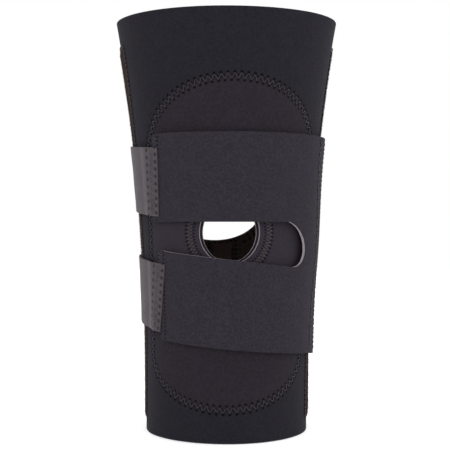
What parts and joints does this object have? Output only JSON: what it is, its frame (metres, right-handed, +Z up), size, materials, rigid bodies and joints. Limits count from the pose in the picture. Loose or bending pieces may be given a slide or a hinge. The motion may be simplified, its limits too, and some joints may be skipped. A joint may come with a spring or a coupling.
{
  "type": "knee brace",
  "caption": "Flared open-patella knee sleeve with a slotted lateral wrap that closes in two hook tabs, side stay pockets and a popliteal opening.",
  "frame": {"origin": "centre of the bottom rim, on the surface that the sleeve stands on", "axes": "+Z up the leg towards the thigh, -Y to the front where the kneecap opening is, +X to the lateral side where the wrap is sewn on"},
  "size_m": [0.1662, 0.1519, 0.305],
  "materials": {
    "jersey": "matte",
    "wrap_cloth": "matte",
    "hook_tape": "satin",
    "hooks": "satin",
    "loop_pile": "matte",
    "thread": "satin",
    "stay_steel": "satin",
    "label_cloth": "satin"
  },
  "bodies": {
    "calf": {"calf_sleeve": "jersey", "knee_sleeve": "jersey", "front_panel_lower": "jersey", "front_panel_middle": "jersey", "patella_ring": "jersey", "oval_seam_thread": "thread", "ring_seam_thread": "thread", "popliteal_seam_thread": "thread", "back_seam_thread_lower": "thread", "care_label": "label_cloth", "medial_stay_pocket": "loop_pile", "medial_pocket_edging": "thread", "medial_stay": "stay_steel", "medial_stay_tip_lower": "stay_steel", "lateral_stay_pocket": "loop_pile", "lateral_pocket_edging": "thread", "lateral_stay": "stay_steel", "lateral_stay_tip_lower": "stay_steel", "wrap_root": "wrap_cloth", "wrap_front_seam_thread": "thread", "wrap_rear_seam_thread": "thread"},
    "thigh": {"thigh_sleeve": "jersey", "front_panel_upper": "jersey", "back_seam_thread_upper": "thread", "medial_stay_tip_upper": "stay_steel", "lateral_stay_tip_upper": "stay_steel"},
    "upper_strap": {"upper_strap": "wrap_cloth", "upper_tab_sewn_end": "hook_tape", "upper_tab_stitching": "thread"},
    "upper_tab": {"upper_tab": "hook_tape", "upper_hook_face": "hooks"},
    "lower_strap": {"lower_strap": "wrap_cloth", "lower_tab_sewn_end": "hook_tape", "lower_tab_stitching": "thread"},
    "lower_tab": {"lower_tab": "hook_tape", "lower_hook_face": "hooks"}
  },
  "joints": [
    {"name": "knee_flex", "type": "hinge", "parent": "calf", "child": "thigh", "pos_m": [0, 0.013, 0.145], "axis": [-1, 0, 0], "range_deg": [0, 45], "stiffness_Nm_per_rad": 1, "deforming": ["knee_sleeve", "front_panel_middle", "patella_ring", "oval_seam_thread", "ring_seam_thread", "popliteal_seam_thread", "back_seam_thread_lower", "care_label", "medial_stay_pocket", "lateral_stay_pocket", "medial_pocket_edging", "lateral_pocket_edging", "medial_stay", "lateral_stay", "wrap_root", "wrap_front_seam_thread", "wrap_rear_seam_thread"]},
    {"name": "upper_strap_hinge", "type": "hinge", "parent": "thigh", "child": "upper_strap", "pos_m": [0.04657, -0.05697, 0.1869], "axis": [0.0432, -0.0123, 0.999], "range_deg": [0, 110]},
    {"name": "upper_tab_peel", "type": "hinge", "parent": "upper_strap", "child": "upper_tab", "pos_m": [-0.05691, -0.04662, 0.1845], "axis": [-0.0683, -0.0233, 0.9974], "range_deg": [0, 110]},
    {"name": "lower_strap_hinge", "type": "hinge", "parent": "calf", "child": "lower_strap", "pos_m": [0.04301, -0.05518, 0.09311], "axis": [0.0357, -0.0287, 0.9989], "range_deg": [0, 110]},
    {"name": "lower_tab_peel", "type": "hinge", "parent": "lower_strap", "child": "lower_tab", "pos_m": [-0.05297, -0.04528, 0.1021], "axis": [-0.0283, -0.0097, 0.9996], "range_deg": [0, 110]}
  ]
}
